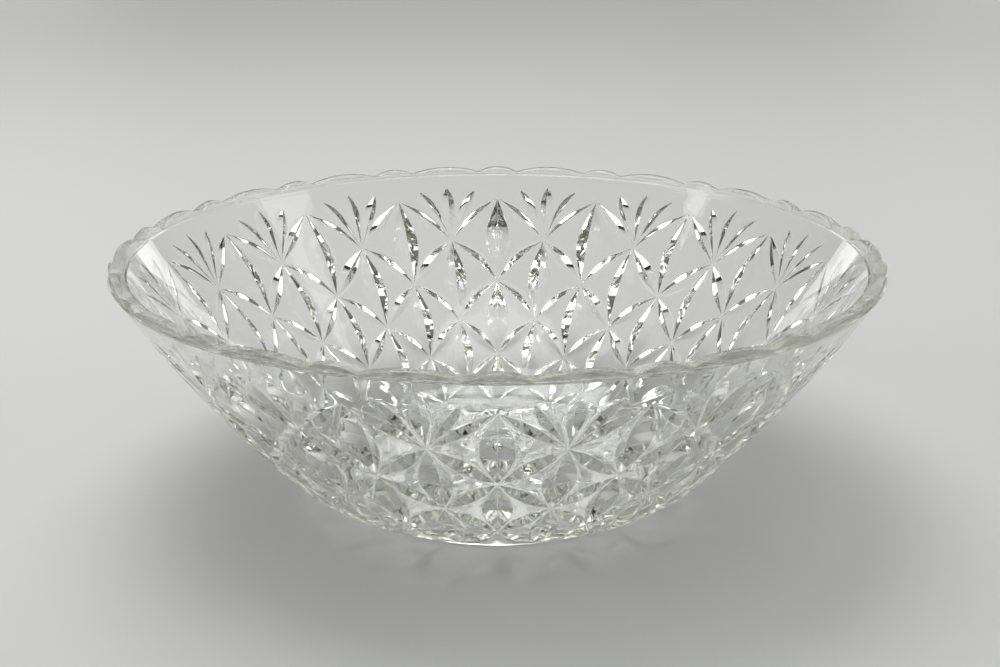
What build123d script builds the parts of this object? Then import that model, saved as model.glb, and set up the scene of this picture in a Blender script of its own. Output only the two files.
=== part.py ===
from build123d import *
from math import asin, atan2, cos, degrees, hypot, radians, sin, sqrt, tan
import os

# A pressed glass punch bowl, one piece of glass. +Z is up, and the origin is at the centre
# of the base, on the surface the bowl rests on. All lengths are in millimetres.

# The outside, as (radius, height)
foot_radius = 74.0
foot_height = 2.0
foot_ring_width = 6.0
heel_start = (74.6, 2.6)
wall_start = (102.0, 18.8)
seam = (169.2, 108.3)
wall_arc_radius = 574.0

# The inside
wall_thickness = 6.8
floor_height = 9.0
inner_heel_radius = 40.0

# The lip stands on the seam, set back from both sides of the wall, and rises in wide and
# narrow scallops by turns
lip_setback = 0.9
lip_rounding = 1.6
scallop_peak = 111.9
scallop_drop = 3.0
narrow_half_angle = 3.55
notch_rounding = 4.0
ring_overrun = 4.0
trim_height = 8.0
trim_reach = 20.0

# Of the ring's edges, those above the seam that sweep at least this area about the axis, in
# square millimetres, run round the lip; the others run straight in toward the axis
seam_clearance = 0.5
least_sweep = 10.0

# The pattern repeats round the bowl, and its leaves run between nodes on seven rows
repeats = 18
half_pitch = 360.0 / repeats / 2
row_radius = [160.7, 147.0, 132.5, 118.5, 105.1, 91.4, 78.6]
leaf_gap = 0.9
spine_width_ratio = [0.27, 0.27, 0.27, 0.28, 0.33]
branch_width_ratio = [0.16, 0.22, 0.22, 0.22, 0.22, 0.22]
leaf_bevel = 54.0

# Three petals stand on each node of the second row, as (turn in half pitches, height)
petal_tips = [(-0.56, 98.6), (0.0, 100.4), (0.56, 98.6)]
petal_width = 7.6
petal_depth = 2.3
petal_gap = 1.6
petal_sections = [(0.42, 0.72), (0.68, 1.0), (0.88, 0.62)]

# The star under the base
star_rays = 18
star_inner = 5.0
star_outer = 64.0
star_ray_width = 7.0
star_bevel = 59.0

cutter_clearance = 0.6
tip_clearance = 0.06
wheel_overrun = 1.5


def arc_centre(start, end, radius):
    """Centre, on the inner upper side, of the arc of a radius through start and end."""
    run = end[0] - start[0]
    rise = end[1] - start[1]
    chord = hypot(run, rise)
    reach = sqrt(radius**2 - chord**2 / 4)
    middle = ((start[0] + end[0]) / 2, (start[1] + end[1]) / 2)
    return (middle[0] - rise / chord * reach, middle[1] + run / chord * reach)


wall_centre = arc_centre(wall_start, seam, wall_arc_radius)


def wall_point(height, depth=0.0):
    """Point at a height on the wall's arc, or on the arc at a depth inside it."""
    reach = wall_arc_radius - depth
    return (wall_centre[0] + sqrt(reach**2 - (wall_centre[1] - height) ** 2), height)


def toward(start, centre, distance):
    """The point a distance from start on the way to centre."""
    run = centre[0] - start[0]
    rise = centre[1] - start[1]
    share = distance / hypot(run, rise)
    return (start[0] + run * share, start[1] + rise * share)


# The heel's arc leaves the wall's arc tangentially and ends at the foot
heel_chord = (heel_start[0] - wall_start[0], heel_start[1] - wall_start[1])
wall_down = (wall_start[1] - wall_centre[1], wall_centre[0] - wall_start[0])
heel_turn = atan2(heel_chord[1], heel_chord[0]) - atan2(wall_down[1], wall_down[0])
heel_radius = abs(hypot(*heel_chord) / 2 / sin(heel_turn))
heel_centre = toward(wall_start, wall_centre, heel_radius)
heel_middle_angle = (
    atan2(heel_start[1] - heel_centre[1], heel_start[0] - heel_centre[0])
    + atan2(wall_start[1] - heel_centre[1], wall_start[0] - heel_centre[0])
) / 2
heel_middle = (
    heel_centre[0] + heel_radius * cos(heel_middle_angle),
    heel_centre[1] + heel_radius * sin(heel_middle_angle),
)
wall_middle = wall_point((wall_start[1] + seam[1]) / 2)


def outside_arc(radius):
    """Centre and radius of the outside's arc that holds a given radius."""
    if radius > wall_start[0]:
        return wall_centre, wall_arc_radius
    return heel_centre, heel_radius


def node_at(radius, turn):
    """Point of the outside at a radius, turned by a number of half pitches."""
    centre, reach = outside_arc(radius)
    height = centre[1] - sqrt(reach**2 - (radius - centre[0]) ** 2)
    angle = radians(turn * half_pitch)
    return Vector(radius * sin(angle), -radius * cos(angle), height)


def surface_under(point):
    """The outside's point nearest to a point, and its outward direction."""
    radius = hypot(point.X, point.Y)
    centre, reach = outside_arc(radius)
    out = Vector(point.X / radius, point.Y / radius, 0)
    hub = out * centre[0] + Vector(0, 0, centre[1])
    normal = (point - hub).normalized()
    return hub + normal * reach, normal


def wheel_cut(start, end, surface, normal, width, bevel):
    """The rim of a bevelled wheel held so that it cuts one leaf from start to end."""
    middle = (start + end) * 0.5
    along = (end - start).normalized()
    outward = (normal - along * normal.dot(along)).normalized()
    side = along.cross(outward)
    crown = (surface - middle).dot(outward)
    depth = width / 2 / tan(radians(bevel))
    length = (end - start).length
    wheel_radius = length**2 / 8 / (depth - crown)
    wheel_arc = 2 * (degrees(asin(length / 2 / wheel_radius)) + wheel_overrun)
    rim_depth = depth + cutter_clearance
    rim_half = rim_depth * tan(radians(bevel))
    hub = surface + outward * (wheel_radius - depth)
    facing = along.rotate(Axis((0, 0, 0), side), -wheel_arc / 2)
    with BuildPart() as wheel:
        with BuildSketch(Plane(origin=hub, x_dir=side, z_dir=facing)):
            with BuildLine():
                Polyline(
                    (0, wheel_radius),
                    (rim_half, wheel_radius - rim_depth),
                    (-rim_half, wheel_radius - rim_depth),
                    close=True,
                )
            make_face()
        revolve(axis=Axis(hub, side), revolution_arc=wheel_arc)
    return wheel.part


def leaf_between(first, last, width_ratio):
    """A leaf's cutter between two nodes, its tips a small gap short of both."""
    along = (last - first).normalized()
    start, _ = surface_under(first + along * leaf_gap)
    end, _ = surface_under(last - along * leaf_gap)
    surface, normal = surface_under((start + end) * 0.5)
    width = (end - start).length * width_ratio
    return wheel_cut(start, end, surface, normal, width, leaf_bevel)


def petal_from(node, tip):
    """A petal's cutter, widest past its middle, standing on a node."""
    along = (tip - node).normalized()
    start, start_normal = surface_under(node + along * petal_gap)
    with BuildPart() as petal:
        sections = [Vertex(start + start_normal * tip_clearance)]
        for share, fullness in petal_sections:
            surface, normal = surface_under(start + (tip - start) * share)
            outward = (normal - along * normal.dot(along)).normalized()
            slope = petal_width / 2 / petal_depth
            drop = petal_depth * fullness
            half = (drop + cutter_clearance * fullness) * slope
            plane = Plane(origin=surface, x_dir=along.cross(outward), z_dir=along)
            with BuildSketch(plane, mode=Mode.PRIVATE) as section:
                with BuildLine():
                    Polyline(
                        (0, drop),
                        (half, -cutter_clearance * fullness),
                        (-half, -cutter_clearance * fullness),
                        close=True,
                    )
                make_face()
            sections.append(section.sketch)
        _, tip_normal = surface_under(tip)
        sections.append(Vertex(tip + tip_normal * tip_clearance))
        loft(sections, ruled=True)
    return petal.part


def pattern_cutters():
    """Cutters for one repeat: the leaves between rows, the petals and the heel."""
    cutters = []
    for row in range(len(row_radius) - 1):
        here = row % 2
        for step in (-1, 1):
            node = node_at(row_radius[row], here)
            below = node_at(row_radius[row + 1], here + step)
            cutters.append(leaf_between(node, below, branch_width_ratio[row]))
        if row < len(spine_width_ratio):
            node = node_at(row_radius[row], here)
            below = node_at(row_radius[row + 2], here)
            cutters.append(leaf_between(node, below, spine_width_ratio[row]))
    for turn, height in petal_tips:
        tip = node_at(wall_point(height)[0], 1 + turn)
        cutters.append(petal_from(node_at(row_radius[1], 1), tip))
    return cutters


def scallop_cutter():
    """Everything above one repeat of the scalloped lip, narrow scallop in the middle."""
    edges = []
    for distance in (seam[0] - trim_reach, seam[0] + trim_reach):
        low = scallop_drop * distance / seam[0]
        narrow = distance * tan(radians(narrow_half_angle))
        wide_middle = distance * tan(radians(half_pitch))
        wide = wide_middle - narrow
        wide_radius = (wide**2 + low**2) / 2 / low
        quarter = wide / 2
        quarter_drop = wide_radius - sqrt(wide_radius**2 - quarter**2)
        plane = Plane(origin=(0, -distance, scallop_peak), x_dir=(1, 0, 0), z_dir=(0, -1, 0))
        with BuildSketch(plane) as outline:
            with BuildLine():
                ThreePointArc(
                    (-wide_middle, 0), (quarter - wide_middle, -quarter_drop), (-narrow, -low)
                )
                ThreePointArc((-narrow, -low), (0, 0), (narrow, -low))
                ThreePointArc(
                    (narrow, -low), (wide_middle - quarter, -quarter_drop), (wide_middle, 0)
                )
                Polyline(
                    (wide_middle, 0),
                    (wide_middle, trim_height),
                    (-wide_middle, trim_height),
                    (-wide_middle, 0),
                )
            make_face()
            notches = outline.vertices().sort_by(Axis.Y)[:2]
            fillet(notches, radius=notch_rounding * distance / seam[0])
        edges.append(outline.sketch)
    with BuildPart() as cutter:
        loft(edges, ruled=True)
    return cutter.part


def is_lip_edge(edge):
    """True for an edge that runs round the ring above the seam."""
    start = edge @ 0
    end = edge @ 1
    sweep = abs(start.X * end.Y - start.Y * end.X)
    return edge.center().Z > seam[1] + seam_clearance and sweep > least_sweep


# The lip, a ring with its top cut to scallops and its edges melted round
lip_rise = scallop_peak - seam[1] + ring_overrun
lip_outer = wall_point(seam[1])
lip_outer_top = wall_point(seam[1] + lip_rise)
lip_inner = wall_point(seam[1], wall_thickness)
lip_inner_top = wall_point(seam[1] + lip_rise, wall_thickness)

with BuildPart() as lip:
    with BuildSketch(Plane.XZ):
        with BuildLine():
            Polyline(
                (lip_outer[0] - lip_setback, lip_outer[1]),
                (lip_outer_top[0] - lip_setback, lip_outer_top[1]),
                (lip_inner_top[0] + lip_setback, lip_inner_top[1]),
                (lip_inner[0] + lip_setback, lip_inner[1]),
                close=True,
            )
        make_face()
    revolve(axis=Axis.Z)
    with PolarLocations(0, repeats):
        add(scallop_cutter(), mode=Mode.SUBTRACT)
    fillet([edge for edge in lip.edges() if is_lip_edge(edge)], radius=lip_rounding)

underside = Vector(0, -(star_inner + star_outer) / 2, foot_height)
ray = wheel_cut(
    Vector(0, -star_inner, foot_height),
    Vector(0, -star_outer, foot_height),
    underside,
    Vector(0, 0, -1),
    star_ray_width,
    star_bevel,
)

with BuildPart() as bowl:
    with BuildSketch(Plane.XZ) as profile:
        with BuildLine():
            Polyline(
                (0, floor_height),
                (0, foot_height),
                (foot_radius - foot_ring_width, foot_height),
                (foot_radius - foot_ring_width + foot_height, 0),
                (foot_radius, 0),
                heel_start,
            )
            ThreePointArc(heel_start, heel_middle, wall_start)
            ThreePointArc(wall_start, wall_middle, seam)
            Line(seam, wall_point(seam[1], wall_thickness))
            inner_foot = wall_point(floor_height, wall_thickness)
            inner_middle = wall_point((floor_height + seam[1]) / 2, wall_thickness)
            ThreePointArc(wall_point(seam[1], wall_thickness), inner_middle, inner_foot)
            Line(inner_foot, (0, floor_height))
        make_face()
        corner = profile.vertices().sort_by_distance(inner_foot)[0]
        fillet(corner, radius=inner_heel_radius)
    revolve(axis=Axis.Z)
    for cutter in pattern_cutters():
        with PolarLocations(0, repeats):
            add(cutter, mode=Mode.SUBTRACT)
    with PolarLocations(0, star_rays):
        add(ray, mode=Mode.SUBTRACT)
    add(lip.part)
bowl.part.label = "bowl"
os.makedirs("parts", exist_ok=True)
export_step(bowl.part, "parts/bowl.step")
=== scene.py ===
from math import acos, asin, atan2, cos, degrees, hypot, log, pi, radians, sin, sqrt, tan

import bmesh
import bpy
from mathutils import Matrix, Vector
from mathutils.geometry import delaunay_2d_cdt


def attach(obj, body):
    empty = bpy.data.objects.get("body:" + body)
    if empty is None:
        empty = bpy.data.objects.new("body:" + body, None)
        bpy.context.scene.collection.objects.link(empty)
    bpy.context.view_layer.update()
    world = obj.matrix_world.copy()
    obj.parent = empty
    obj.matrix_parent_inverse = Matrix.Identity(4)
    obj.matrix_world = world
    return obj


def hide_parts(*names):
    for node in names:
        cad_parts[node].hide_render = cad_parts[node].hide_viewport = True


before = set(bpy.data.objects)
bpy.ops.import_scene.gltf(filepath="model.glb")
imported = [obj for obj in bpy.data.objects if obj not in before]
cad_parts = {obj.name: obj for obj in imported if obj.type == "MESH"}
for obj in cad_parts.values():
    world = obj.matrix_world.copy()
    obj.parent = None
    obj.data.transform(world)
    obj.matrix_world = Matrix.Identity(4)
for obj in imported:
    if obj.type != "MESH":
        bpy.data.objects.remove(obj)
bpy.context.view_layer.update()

# The bowl's section in millimetres, its points as (radius, height)
body = {
    "footRadius": 74.0,
    "footHeight": 2.0,
    "footInner": 68.0,
    "heelStart": (74.6, 2.6),
    "wallStart": (102.0, 18.8),
    "seam": (169.2, 108.3),
    "wallArc": 574.0,
    "thickness": 6.8,
    "floorHeight": 9.0,
    "innerHeelArc": 40.0,
    "wallColumns": 10,
}


# Centre of the arc of this radius between two points, on the left of the way from start to end
def arcCentre(start, end, radius):
    run = end[0] - start[0]
    rise = end[1] - start[1]
    chord = hypot(run, rise)
    reach = sqrt(radius**2 - chord**2 / 4)
    return (
        (start[0] + end[0]) / 2 - rise / chord * reach,
        (start[1] + end[1]) / 2 + run / chord * reach,
    )


wallCentre = arcCentre(body["wallStart"], body["seam"], body["wallArc"])
wallStartAngle = atan2(body["wallStart"][1] - wallCentre[1], body["wallStart"][0] - wallCentre[0])


# The heel's arc runs tangentially out of the wall's and down to the foot
def heelArc():
    run = body["heelStart"][0] - body["wallStart"][0]
    rise = body["heelStart"][1] - body["wallStart"][1]
    turn = atan2(rise, run) - atan2(-cos(wallStartAngle), sin(wallStartAngle))
    radius = abs(hypot(run, rise) / 2 / sin(turn))
    centre = (
        body["wallStart"][0] - radius * cos(wallStartAngle),
        body["wallStart"][1] - radius * sin(wallStartAngle),
    )
    startAngle = atan2(body["heelStart"][1] - centre[1], body["heelStart"][0] - centre[0])
    return radius, centre, startAngle


heelRadius, heelCentre, heelStartAngle = heelArc()
bottomAlong = (heelStartAngle - wallStartAngle) * heelRadius


# Distance up the outside from the start of the wall, negative on the heel
def alongAtRadius(radius):
    if radius >= body["wallStart"][0]:
        return (-acos((radius - wallCentre[0]) / body["wallArc"]) - wallStartAngle) * body["wallArc"]
    return (-acos((radius - heelCentre[0]) / heelRadius) - wallStartAngle) * heelRadius


def alongAtHeight(height):
    return (asin((height - wallCentre[1]) / body["wallArc"]) - wallStartAngle) * body["wallArc"]


# Radius, height and the outward direction at a distance along the outside
def outsideAt(along):
    centre, radius = (wallCentre, body["wallArc"]) if along >= 0 else (heelCentre, heelRadius)
    angle = wallStartAngle + along / radius
    out = (cos(angle), sin(angle))
    return (centre[0] + radius * out[0], centre[1] + radius * out[1]), out


def place(radius, degreesRound, height):
    angle = radians(degreesRound)
    return Vector((radius * sin(angle), -radius * cos(angle), height))


def outsidePoint(degreesRound, along, depth=0.0):
    point, out = outsideAt(along)
    return place(point[0] - depth * out[0], degreesRound, point[1] - depth * out[1])


# The pattern: leaves from node to node, with every other row of nodes turned by half a pitch
pattern = {
    "repeats": 18,
    "rowRadius": [160.7, 147.0, 132.5, 118.5, 105.1, 91.4, 78.6],
    "branchRatio": [0.165, 0.225, 0.225, 0.225, 0.225, 0.225],
    "branchPower": [1.5, 1.25, 1.25, 1.25, 1.25, 1.25],
    "spineRatio": [0.275, 0.275, 0.275, 0.275, 0.275],
    "spinePower": 1.2,
    "facetSlope": 0.7265,
    "edgeRounding": 0.28,
    "valleyRounding": 0.16,
    "fullRounding": 1.5,  # half width from which the roundings are whole
    "sample": 2.0,
    "fieldSpacing": 2.7,
    "fieldMargin": 1.1,
    "petalTips": [(0.0, 100.4), (0.56, 98.6)],  # half pitches from the fan's middle, height
    "petalWidth": 3.7,
    "petalWidthBeside": (2.7, 3.5),
    "petalFullest": 0.66,
}

halfPitch = 180.0 / pattern["repeats"]
seamAlong = alongAtHeight(body["seam"][1])
wallTopAlong = seamAlong - 0.4  # the lip takes over from the wall just below the seam
rowAlong = [alongAtRadius(r) for r in pattern["rowRadius"]]


def spread(start, end, count):
    return [start + (end - start) * k / count for k in range(count + 1)]


wallTurns = spread(0.0, halfPitch, body["wallColumns"])


# Offset from a cut's middle and depth there, for each line along one of its sides
def cutSection(half, slope, cut):
    share = min(1.0, half / cut["fullRounding"])
    edge, valley = cut["edgeRounding"] * share, cut["valleyRounding"] * share
    return {
        "middle": (0.0, half * slope - valley * slope * 0.75),
        "valley": (valley, half * slope - valley * slope),
        "inner": (half - edge, edge * slope),
        "outer": (half + edge, 0.0),
    }


# One leaf as lines of (degrees, along, depth) that meet at both its tips
def leafLines(first, last, left, right, shape):
    radiusMiddle = outsideAt((first[1] + last[1]) / 2)[0][0]
    across = radians(last[0] - first[0]) * radiusMiddle
    up = last[1] - first[1]
    length = hypot(across, up)
    steps = max(6, round(length / pattern["sample"]))
    sides = [(side, width) for side, width in ((-1, left), (1, right)) if width > 0]
    routes = [(side, width, kind) for side, width in sides for kind in ("outer", "inner", "valley")]
    if len(sides) == 1:  # a leaf cut in two by the half repeat's edge needs its middle too
        routes.append((1, max(left, right), "middle"))
    lines = []
    for side, width, kind in routes:
        line = [(first[0], first[1], 0.0)]
        for k in range(1, steps):
            t = k / steps * 0.65 + (0.5 - 0.5 * cos(pi * k / steps)) * 0.35  # closer at the tips
            offset, deep = cutSection(width * shape(t), pattern["facetSlope"], pattern)[kind]
            along = first[1] + up * t - side * offset * across / length
            radius = outsideAt(min(max(along, bottomAlong), seamAlong))[0][0]
            turn = first[0] + (last[0] - first[0]) * t + degrees(side * offset * up / length / radius)
            line.append((turn, along, deep))
        line.append((last[0], last[1], 0.0))
        lines.append(line)
    return lines


# All leaves in the half repeat, which runs from a narrow scallop's middle to a wide one's
def halfRepeatLeaves():
    lines = []
    regions = []

    def leaf(first, last, left, right, shape):
        lines.extend(leafLines(first, last, left, right, shape))
        regions.append((first, last, left, right, shape))

    # Branches slant from each row's node to the next row's
    for row in range(len(rowAlong) - 1):
        start = (halfPitch * (row % 2), rowAlong[row])
        end = (halfPitch * ((row + 1) % 2), rowAlong[row + 1])
        radius = outsideAt((start[1] + end[1]) / 2)[0][0]
        length = hypot(radians(halfPitch) * radius, end[1] - start[1])
        width = length * pattern["branchRatio"][row] / 2
        power = pattern["branchPower"][row]
        leaf(start, end, width, width, lambda t, p=power: max(0.0, sin(pi * t)) ** p)
    # Spines stand on a node and reach the node two rows above
    for row, ratio in enumerate(pattern["spineRatio"]):
        turn = halfPitch * (row % 2)
        start, end = (turn, rowAlong[row + 2]), (turn, rowAlong[row])
        width = (end[1] - start[1]) * ratio / 2
        left, right = (0.0, width) if row % 2 == 0 else (width, 0.0)
        leaf(start, end, left, right, lambda t: max(0.0, sin(pi * t)) ** pattern["spinePower"])
    # Petals fan out of the second row's node
    skew = -log(2) / log(pattern["petalFullest"])  # puts the sine's crest at the fullest place
    for turn, height in pattern["petalTips"]:
        tip = (halfPitch * (1 - turn), alongAtHeight(height))
        left, right = (pattern["petalWidth"], 0.0) if turn == 0 else pattern["petalWidthBeside"]
        leaf((halfPitch, rowAlong[1]), tip, left, right, lambda t: max(0.0, sin(pi * t**skew)))
    return lines, regions


# True if a point of the outside lies in a leaf or within a margin of one
def inLeaf(turn, along, regions, margin):
    for first, last, left, right, shape in regions:
        radius = outsideAt((first[1] + last[1]) / 2)[0][0]
        across, up = radians(last[0] - first[0]) * radius, last[1] - first[1]
        length = hypot(across, up)
        x, y = radians(turn - first[0]) * radius, along - first[1]
        t = (x * across + y * up) / length**2
        off = (y * across - x * up) / length
        if -margin / length < t < 1 + margin / length:
            half = max(left, right) * shape(min(1.0, max(0.0, t)))
            if abs(off) < half + margin:
                return True
    return False


# Fills a flat outline, with lines laid in it and points between them, and returns its triangles
def fillFlat(lines, points, flat):
    coords, keys, edges, values = [], {}, [], []

    def index(entry):
        spot = flat(entry)
        key = (round(spot.x, 4), round(spot.y, 4))
        if key not in keys:
            keys[key] = len(coords)
            coords.append(spot)
            values.append(entry)
        return keys[key]

    for line in lines:
        ids = [index(entry) for entry in line]
        edges += [(a, b) for a, b in zip(ids, ids[1:]) if a != b]
    for entry in points:
        index(entry)
    spots, _, faces, origins, _, _ = delaunay_2d_cdt(coords, edges, [], 0, 1e-5)
    entries = []
    for spot, origin in zip(spots, origins):
        if origin:
            entries.append(max((values[i] for i in origin), key=lambda e: e[2]))
        else:
            entries.append((None, spot, 0.0))  # two lines cross here

    # Slivers along a straight edge of the outline aren't part of it
    def thin(face):
        a, b, c = (spots[i] for i in face)
        longest = max((a - b).length, (b - c).length, (c - a).length)
        return abs((b - a).cross(c - a)) < 2e-4 * longest

    return entries, [face for face in faces if not thin(face)]


def addFaces(bm, positions, faces):
    verts = [bm.verts.new(p) for p in positions]
    for face in faces:
        if len(set(face)) > 2:
            bm.faces.new([verts[i] for i in face])


# The lip's scallops: a narrow one about the half repeat's start and a wide one about its end
lip = {
    "setback": 0.9,
    "ledgeEdge": 0.22,
    "ledgeFillet": 0.25,
    "peak": 111.9,
    "drop": 3.0,
    "narrowHalf": 3.55,  # degrees to the notch
    "notchRounding": 4.0,
    "melt": 2.1,  # how far the fire has rounded the edges
}


# Angles of the lip's columns, close together where the notch is
def lipColumns():
    notch = lip["narrowHalf"]
    near = [notch + d for d in (-0.8, -0.5, -0.25, 0.0, 0.25, 0.5, 0.8, 1.2)]
    return spread(0.0, notch - 1.15, 5) + near + spread(notch + 1.75, halfPitch, 8)


lipTurns = lipColumns()
flatScale = radians(1.0) * 140.0  # millimetres for each degree where the wall is laid flat


# The patterned outside, filled flat between the half repeat's two straight edges
def outsideSheet(bm):
    lines, regions = halfRepeatLeaves()
    lines.append([(turn, wallTopAlong, 0.0) for turn in lipTurns])
    lines.append([(turn, bottomAlong, 0.0) for turn in wallTurns])
    petalTop = alongAtHeight(pattern["petalTips"][0][1])
    gaps = [  # plain stretches of the two edges: turn, from, to and steps
        (0.0, bottomAlong, rowAlong[6], 3),
        (0.0, rowAlong[0], wallTopAlong, 7),
        (halfPitch, bottomAlong, rowAlong[5], 6),
        (halfPitch, petalTop, wallTopAlong, 4),
    ]
    for turn, low, high, count in gaps:
        lines.append([(turn, along, 0.0) for along in spread(low, high, count)])
    points = []
    spacing, margin = pattern["fieldSpacing"], pattern["fieldMargin"]
    rows = int((wallTopAlong - bottomAlong) / (spacing * 0.87))  # near-equal triangles
    for row in range(1, rows):
        along = bottomAlong + (wallTopAlong - bottomAlong) * row / rows
        radius = outsideAt(along)[0][0]
        count = max(3, round(radians(halfPitch) * radius / spacing))
        for k in range(1, count + 1):
            step = k - 0.5 * (row % 2)
            turn = halfPitch * step / count
            if step < count - 0.2 and not inLeaf(turn, along, regions, margin):
                points.append((turn, along, 0.0))
    entries, faces = fillFlat(lines, points, lambda e: Vector((e[0] * flatScale, e[1])))
    positions = []
    for entry in entries:
        if entry[0] is None:
            entry = (entry[1].x / flatScale, entry[1].y, 0.0)
        positions.append(outsidePoint(*entry))
    addFaces(bm, positions, faces)


# How far the lip's top is below its peaks: two arcs and the rounded notch between them
def scallopDrop(turn):
    reach = body["seam"][0]
    x, narrow = reach * tan(radians(turn)), reach * tan(radians(lip["narrowHalf"]))
    middle, low, notch = reach * tan(radians(halfPitch)), lip["drop"], lip["notchRounding"]
    small = (narrow**2 + low**2) / 2 / low
    large = ((middle - narrow) ** 2 + low**2) / 2 / low
    # The rounding's centre lies above the notch, at its own radius from both scallops
    toSmall, toLarge = small + notch, large + notch
    gap = hypot(middle, large - small)
    share = (toSmall**2 - toLarge**2 + gap**2) / 2 / gap
    rise = sqrt(toSmall**2 - share**2)
    alongX, alongZ = middle / gap, (small - large) / gap
    centreX = share * alongX - rise * alongZ
    centreZ = -small + share * alongZ + rise * alongX
    if x < centreX * small / toSmall:
        return small - sqrt(small**2 - x**2)
    if x > middle - (middle - centreX) * large / toLarge:
        return large - sqrt(large**2 - (middle - x) ** 2)
    return -(centreZ - sqrt(notch**2 - (x - centreX) ** 2))


def insideRadius(height):
    reach = body["wallArc"] - body["thickness"]
    return wallCentre[0] + sqrt(reach**2 - (wallCentre[1] - height) ** 2)


wallTilt = wallStartAngle + seamAlong / body["wallArc"]
insideTop = body["seam"][1] - 0.35  # and from the inside at this height


# The lip's section at one column, from the wall's outside over the top to its inside
def lipSection(turn):
    seamRadius, seamHeight = body["seam"]
    innerRadius = insideRadius(seamHeight)
    top = lip["peak"] - scallopDrop(turn)
    rise = top - seamHeight
    lean = -tan(wallTilt)
    melt = min(lip["melt"], rise * 0.5)
    halfCorner = (pi / 2 + wallTilt) / 2

    # The narrow ledge at the wall's top and the start of the lip's face, side 1 for the outside
    def ledge(wallRadius, face, side):
        return [
            (wallRadius - side * lip["ledgeEdge"], seamHeight),
            (face + side * lip["ledgeFillet"], seamHeight),
            (face + side * 0.03, seamHeight + rise * 0.06),
            (face + rise * 0.12 * lean, seamHeight + rise * 0.12),
        ]

    def roundOff(centre, start, end, steps):
        height = top - melt
        return [(centre + melt * cos(a), height + melt * sin(a)) for a in spread(start, end, steps)]

    faceOut, faceIn = seamRadius - lip["setback"], innerRadius + lip["setback"]
    outCentre = faceOut + rise * lean - melt / tan(halfCorner)
    inCentre = faceIn + rise * lean + melt * tan(halfCorner)
    points = [outsideAt(wallTopAlong)[0], outsideAt(seamAlong - 0.12)[0]]
    points += ledge(seamRadius, faceOut, 1)
    points += roundOff(outCentre, wallTilt, pi / 2, 6)
    points += roundOff(inCentre, pi / 2, pi + wallTilt, 4)
    points += ledge(innerRadius, faceIn, -1)[::-1]
    return points + [(insideRadius(z), z) for z in (seamHeight - 0.1, insideTop)]


# A grid of quads laid over one section for each turn
def gridSheet(bm, turns, sections):
    rows = len(sections[0])
    made = bmesh.ops.create_grid(bm, x_segments=len(turns) - 1, y_segments=rows - 1, size=1.0)
    verts = sorted(made["verts"], key=lambda v: (round(v.co.y, 5), round(v.co.x, 5)))
    for k, vert in enumerate(verts):
        row, column = divmod(k, len(turns))
        radius, height = sections[column][row]
        vert.co = place(radius, turns[column], height)


# The inside as (radius, height) from the lip down to the floor: the wall's arc and its fillet
def insideProfile():
    reach, fillet = body["wallArc"] - body["thickness"], body["innerHeelArc"]
    centreHeight = body["floorHeight"] + fillet
    drop = wallCentre[1] - centreHeight
    centreRadius = wallCentre[0] + sqrt((reach - fillet) ** 2 - drop**2)
    meet = atan2(-drop, centreRadius - wallCentre[0])
    start = asin((insideTop - wallCentre[1]) / reach)

    def arc(centre, radius, angles):
        return [(centre[0] + radius * cos(a), centre[1] + radius * sin(a)) for a in angles]

    wall = arc(wallCentre, reach, spread(start, meet, 26))
    heel = arc((centreRadius, centreHeight), fillet, spread(meet, -pi / 2, 9))
    return wall, heel


# Place of a (radius, turn) point on the flat, for the floor and the underside
def wedge(entry):
    angle = radians(entry[1])
    return Vector((entry[0] * sin(angle), entry[0] * cos(angle)))


def insideSheet(bm):
    wall, heel = insideProfile()
    gridSheet(bm, wallTurns, [wall[1:] + heel[1:]] * len(wallTurns))
    # One band of triangles takes the lip's columns down to the wall's
    bandHeight, rimScale = 4.0, 2.9  # millimetres, and millimetres for each degree
    top = [(turn, 0.0, 0.0) for turn in lipTurns]
    low = [(turn, -bandHeight, 0.0) for turn in wallTurns]
    entries, faces = fillFlat([top, low], [], lambda e: Vector((e[0] * rimScale, e[1])))
    positions = []
    for turn, level, _ in entries:
        radius, height = wall[0] if level == 0 else wall[1]
        positions.append(place(radius, turn, height))
    addFaces(bm, positions, faces)
    # The floor
    floorRadius = heel[-1][0]
    rings = [[(r, turn, 0.0) for turn in wallTurns] for r in (floorRadius, floorRadius - 5.0, 20.0)]
    entries, faces = fillFlat(rings, [(0.0, 0.0, 0.0)], wedge)
    addFaces(bm, [place(e[0], e[1], body["floorHeight"]) for e in entries], faces)


# Makes the foot ring and returns the radius where the underside starts
def footSheet(bm):
    r, inner, lift = body["footRadius"], body["footInner"], body["footHeight"]
    rows = [
        body["heelStart"], (r + 0.25, 1.5), (r, 0.8), (r - 0.25, 0.3), (r - 0.7, 0.05),
        (r - 1.2, 0.0), (r - 3.2, 0.0),  # the flat that it stands on
        (r - 3.7, 0.06), (r - 4.1, 0.25), (r - 4.6, 0.75),
        (inner + 0.45, lift - 0.3), (inner, lift - 0.06), (inner - 0.6, lift),
    ]
    gridSheet(bm, wallTurns, [rows] * len(wallTurns))
    return rows[-1][0]


# The star pressed under the base
star = {
    "inner": 5.0,
    "outer": 64.0,
    "halfWidth": 3.5,
    "slope": 0.6,
    "edgeRounding": 0.22,
    "valleyRounding": 0.16,
    "fullRounding": 1.0,
    "steps": 26,
    "fieldRadii": (40.0, 48.0, 56.0, 62.0),
    "fieldTurns": (7.0, 8.6),
}


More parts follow.
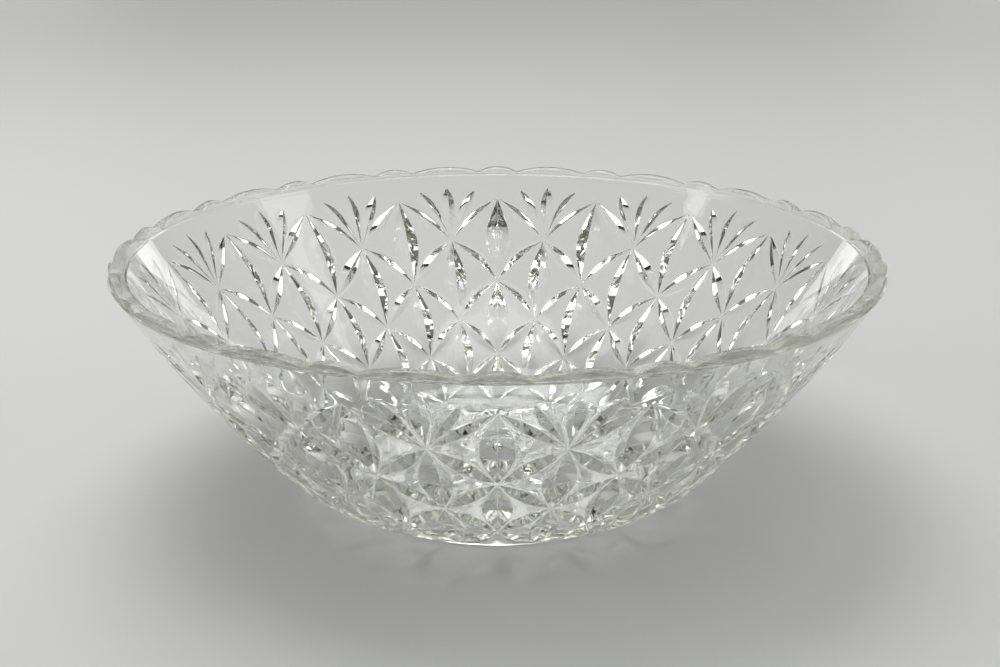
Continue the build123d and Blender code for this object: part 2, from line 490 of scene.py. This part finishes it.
# The base's underside, one half ray of the star on its first edge
def underSheet(bm, rim):
    rays = {"middle": [], "valley": [], "inner": [], "outer": []}
    for t in spread(0.0, 1.0, star["steps"]):
        r = star["inner"] + (star["outer"] - star["inner"]) * t
        half = star["halfWidth"] * sin(pi * t)
        for kind, (offset, deep) in cutSection(half, star["slope"], star).items():
            if t in (0.0, 1.0):
                offset, deep = 0.0, 0.0
            rays[kind].append((hypot(r, offset), degrees(atan2(offset, r)), deep))
    lines = list(rays.values())
    lines.append([(rim, turn, 0.0) for turn in wallTurns])
    lines.append([(r, halfPitch, 0.0) for r in spread(0.0, rim, 12)])
    lines.append([(rim, 0.0, 0.0), (star["outer"], 0.0, 0.0)])
    lines.append([(0.0, 0.0, 0.0), (star["inner"], 0.0, 0.0)])
    points = [(r, turn, 0.0) for r in star["fieldRadii"] for turn in star["fieldTurns"]]
    entries, faces = fillFlat(lines, points, wedge)
    positions = []
    for entry in entries:
        if entry[0] is None:
            spot = entry[1]
            entry = (spot.length, degrees(atan2(spot.x, spot.y)), 0.0)
        positions.append(place(entry[0], entry[1], body["footHeight"] + entry[2]))
    addFaces(bm, positions, faces)


# Half a repeat, mirrored, then spun round into the whole bowl
def makeBowl():
    bm = bmesh.new()
    outsideSheet(bm)
    print("faces with the outside", len(bm.faces))
    gridSheet(bm, lipTurns, [lipSection(turn) for turn in lipTurns])
    print("with the lip", len(bm.faces))
    insideSheet(bm)
    print("with the inside", len(bm.faces))
    underSheet(bm, footSheet(bm))
    print("with the foot and the star, half a repeat", len(bm.faces))
    mergeWithin = 0.004
    bmesh.ops.remove_doubles(bm, verts=bm.verts, dist=mergeWithin)
    bmesh.ops.mirror(
        bm, geom=bm.verts[:] + bm.edges[:] + bm.faces[:], axis="X", merge_dist=mergeWithin,
    )
    bmesh.ops.spin(
        bm, geom=bm.verts[:] + bm.edges[:] + bm.faces[:], cent=(0, 0, 0), axis=(0, 0, 1),
        angle=2 * pi, steps=pattern["repeats"], use_merge=True, use_duplicate=True,
    )
    bmesh.ops.remove_doubles(bm, verts=bm.verts, dist=mergeWithin)
    bmesh.ops.dissolve_degenerate(bm, edges=bm.edges, dist=0.0005)
    bmesh.ops.recalc_face_normals(bm, faces=bm.faces)
    openEdges = [e for e in bm.edges if len(e.link_faces) != 2]
    print("bowl", len(bm.faces), "faces,", len(openEdges), "open edges, volume", bm.calc_volume())
    bmesh.ops.triangulate(bm, faces=[f for f in bm.faces if len(f.verts) > 4])
    bmesh.ops.scale(bm, vec=(0.001, 0.001, 0.001), verts=bm.verts)  # millimetres to metres
    mesh = bpy.data.meshes.new("pressed_bowl")
    bm.to_mesh(mesh)
    bm.free()
    mesh.shade_smooth()
    obj = bpy.data.objects.new("pressed_bowl", mesh)
    bpy.context.scene.collection.objects.link(obj)
    normals = obj.modifiers.new("facets", "WEIGHTED_NORMAL")
    normals.mode = "FACE_AREA"
    normals.weight = 100
    return obj


bowl = makeBowl()
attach(bowl, "root")
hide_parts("bowl")

# Clear soda-lime glass: faintly olive where it is thick, fire-polished but not quite even,
# and finely wrinkled on the lip, where the mould's ring chilled it. Heights are in metres
glass = {
    "colour": (0.985, 0.99, 0.98, 1.0),
    "ior": 1.52,
    "roughness": 0.01,
    "tint": (0.76, 0.78, 0.64, 1.0),
    "tintDensity": 8.0,  # per metre of glass
    "waveScale": 70.0,
    "waveHeight": 0.00009,
    "rippleScale": 330.0,
    "rippleHeight": 0.000006,
    "wrinkleScale": 1150.0,
    "wrinkleHeight": 0.0003,
    "lipRoughness": 0.12,
    "wrinkleFrom": 0.1084,  # heights between which the wrinkles and the lip's roughness set in
    "wrinkleTo": 0.1091,
}


def clearGlass():
    material = bpy.data.materials.new("clear_pressed_glass")
    material.use_nodes = True
    nodes, links = material.node_tree.nodes, material.node_tree.links
    surface = nodes["Principled BSDF"]
    surface.inputs["Base Color"].default_value = glass["colour"]
    surface.inputs["Roughness"].default_value = glass["roughness"]
    surface.inputs["IOR"].default_value = glass["ior"]
    surface.inputs["Transmission Weight"].default_value = 1.0
    thick = nodes.new("ShaderNodeVolumeAbsorption")
    thick.inputs["Color"].default_value = glass["tint"]
    thick.inputs["Density"].default_value = glass["tintDensity"]
    links.new(thick.outputs["Volume"], nodes["Material Output"].inputs["Volume"])
    where = nodes.new("ShaderNodeTexCoord")

    def noise(scale, detail):
        node = nodes.new("ShaderNodeTexNoise")
        node.inputs["Scale"].default_value = scale
        node.inputs["Detail"].default_value = detail
        links.new(where.outputs["Object"], node.inputs["Vector"])
        return node.outputs["Fac"]

    def calculate(operation, first, second):
        node = nodes.new("ShaderNodeMath")
        node.operation = operation
        for socket, value in zip(node.inputs, (first, second)):
            if isinstance(value, float):
                socket.default_value = value
            else:
                links.new(value, socket)
        return node.outputs[0]

    split = nodes.new("ShaderNodeSeparateXYZ")
    links.new(where.outputs["Object"], split.inputs["Vector"])
    onLip = nodes.new("ShaderNodeMapRange")
    onLip.interpolation_type = "SMOOTHSTEP"
    onLip.inputs["From Min"].default_value = glass["wrinkleFrom"]
    onLip.inputs["From Max"].default_value = glass["wrinkleTo"]
    links.new(split.outputs["Z"], onLip.inputs["Value"])
    wave = calculate("MULTIPLY", noise(glass["waveScale"], 1.0), glass["waveHeight"])
    ripple = calculate("MULTIPLY", noise(glass["rippleScale"], 2.0), glass["rippleHeight"])
    wrinkle = calculate("MULTIPLY", noise(glass["wrinkleScale"], 2.0), glass["wrinkleHeight"])
    wrinkle = calculate("MULTIPLY", wrinkle, onLip.outputs["Result"])
    uneven = calculate("ADD", calculate("ADD", wave, ripple), wrinkle)
    bump = nodes.new("ShaderNodeBump")
    bump.inputs["Strength"].default_value = 1.0
    bump.inputs["Distance"].default_value = 1.0
    links.new(uneven, bump.inputs["Height"])
    links.new(bump.outputs["Normal"], surface.inputs["Normal"])
    chill = calculate("MULTIPLY", onLip.outputs["Result"], glass["lipRoughness"])
    links.new(calculate("ADD", chill, glass["roughness"]), surface.inputs["Roughness"])
    return material


bowl.data.materials.append(clearGlass())
print("glass made")

# A pale floor under a soft ceiling, with softboxes as (power, size, place, what they face)
studio = {
    "floorSize": 8.0,
    "floorColour": (0.57, 0.57, 0.56, 1.0),
    "floorRoughness": 0.6,
    "lowColour": (0.012, 0.012, 0.013, 1.0),
    "highColour": (0.17, 0.17, 0.175, 1.0),
    "highPosition": 0.75,
    "ceilingStrength": 0.95,
    "ceilingAngle": 60.0,
    "softboxes": {
        "top_softbox": (14.0, (1.3, 0.9), (-0.25, 0.45, 1.5), (0, 0.3, 0)),
        "back_left_strip": (11.0, (0.9, 2.0), (-1.7, 4.0, 1.25), (0, 0, 0.1)),
        "back_right_strip": (11.0, (0.9, 2.0), (1.7, 4.0, 1.25), (0, 0, 0.1)),
        "lip_softbox": (7.0, (1.3, 0.7), (0, 3.4, 1.7), (0, 0, 0.1)),
        "front_fill": (1.5, (1.6, 1.0), (0, -2.2, 1.5), (0, 0, 0.05)),
        "left_strip": (4.0, (0.5, 1.2), (-1.5, -0.2, 0.75), (0, 0, 0.05)),
        "right_strip": (2.8, (0.5, 1.2), (1.5, 0.1, 0.75), (0, 0, 0.05)),
    },
}


def stageObject(name, data, location=(0, 0, 0)):
    obj = bpy.data.objects.new(name, data)
    obj.location = location
    bpy.context.scene.collection.objects.link(obj)
    return obj


def makeFloor():
    mesh = bpy.data.meshes.new("studio_floor")
    bm = bmesh.new()
    bmesh.ops.create_grid(bm, x_segments=1, y_segments=1, size=studio["floorSize"])
    bm.to_mesh(mesh)
    bm.free()
    paint = bpy.data.materials.new("pale_floor")
    paint.use_nodes = True
    surface = paint.node_tree.nodes["Principled BSDF"]
    surface.inputs["Base Color"].default_value = studio["floorColour"]
    surface.inputs["Roughness"].default_value = studio["floorRoughness"]
    mesh.materials.append(paint)
    stageObject("studio_floor", mesh)


# Light from all round, dim near the horizon and brighter towards the ceiling
def makeWorld():
    world = bpy.data.worlds.new("studio")
    world.use_nodes = True
    nodes, links = world.node_tree.nodes, world.node_tree.links
    where = nodes.new("ShaderNodeTexCoord")
    split = nodes.new("ShaderNodeSeparateXYZ")
    links.new(where.outputs["Generated"], split.inputs["Vector"])
    ramp = nodes.new("ShaderNodeValToRGB")
    low, high = ramp.color_ramp.elements
    low.position, low.color = 0.0, studio["lowColour"]
    high.position, high.color = studio["highPosition"], studio["highColour"]
    links.new(split.outputs["Z"], ramp.inputs["Fac"])
    links.new(ramp.outputs["Color"], nodes["Background"].inputs["Color"])
    bpy.context.scene.world = world


def makeLights():
    ceiling = bpy.data.lights.new("ceiling_light", "SUN")
    ceiling.energy = studio["ceilingStrength"]
    ceiling.angle = radians(studio["ceilingAngle"])
    stageObject("ceiling_light", ceiling, (0, 0, 3))
    for name, (power, size, location, aim) in studio["softboxes"].items():
        light = bpy.data.lights.new(name, "AREA")
        light.shape = "RECTANGLE"
        light.size, light.size_y = size
        light.energy = power
        box = stageObject(name, light, location)
        facing = Vector(aim) - Vector(location)
        box.rotation_euler = facing.to_track_quat("-Z", "Y").to_euler()


makeFloor()
makeWorld()
makeLights()
print("studio ready,", len(studio["softboxes"]), "softboxes")

view = {
    "focalLength": 52.4,
    "sensorWidth": 36.0,
    "shift": 0.0025,
    "place": (0.0, -0.6286, 0.2806),
    "tiltDown": 18.53,
}


def makeCamera():
    lens = bpy.data.cameras.new("studio_camera")
    lens.lens = view["focalLength"]
    lens.sensor_width = view["sensorWidth"]
    lens.shift_x = view["shift"]
    camera = bpy.data.objects.new("studio_camera", lens)
    camera.location = view["place"]
    camera.rotation_euler = (radians(90.0 - view["tiltDown"]), 0.0, 0.0)
    bpy.context.scene.collection.objects.link(camera)
    bpy.context.scene.camera = camera


makeCamera()
bpy.context.scene.view_settings.view_transform = "Standard"
cycles = bpy.context.scene.cycles
cycles.use_denoising = True
cycles.max_bounces = 28  # light crosses many facets before it leaves the glass
cycles.transmission_bounces = 28
cycles.glossy_bounces = 12
print("camera set")
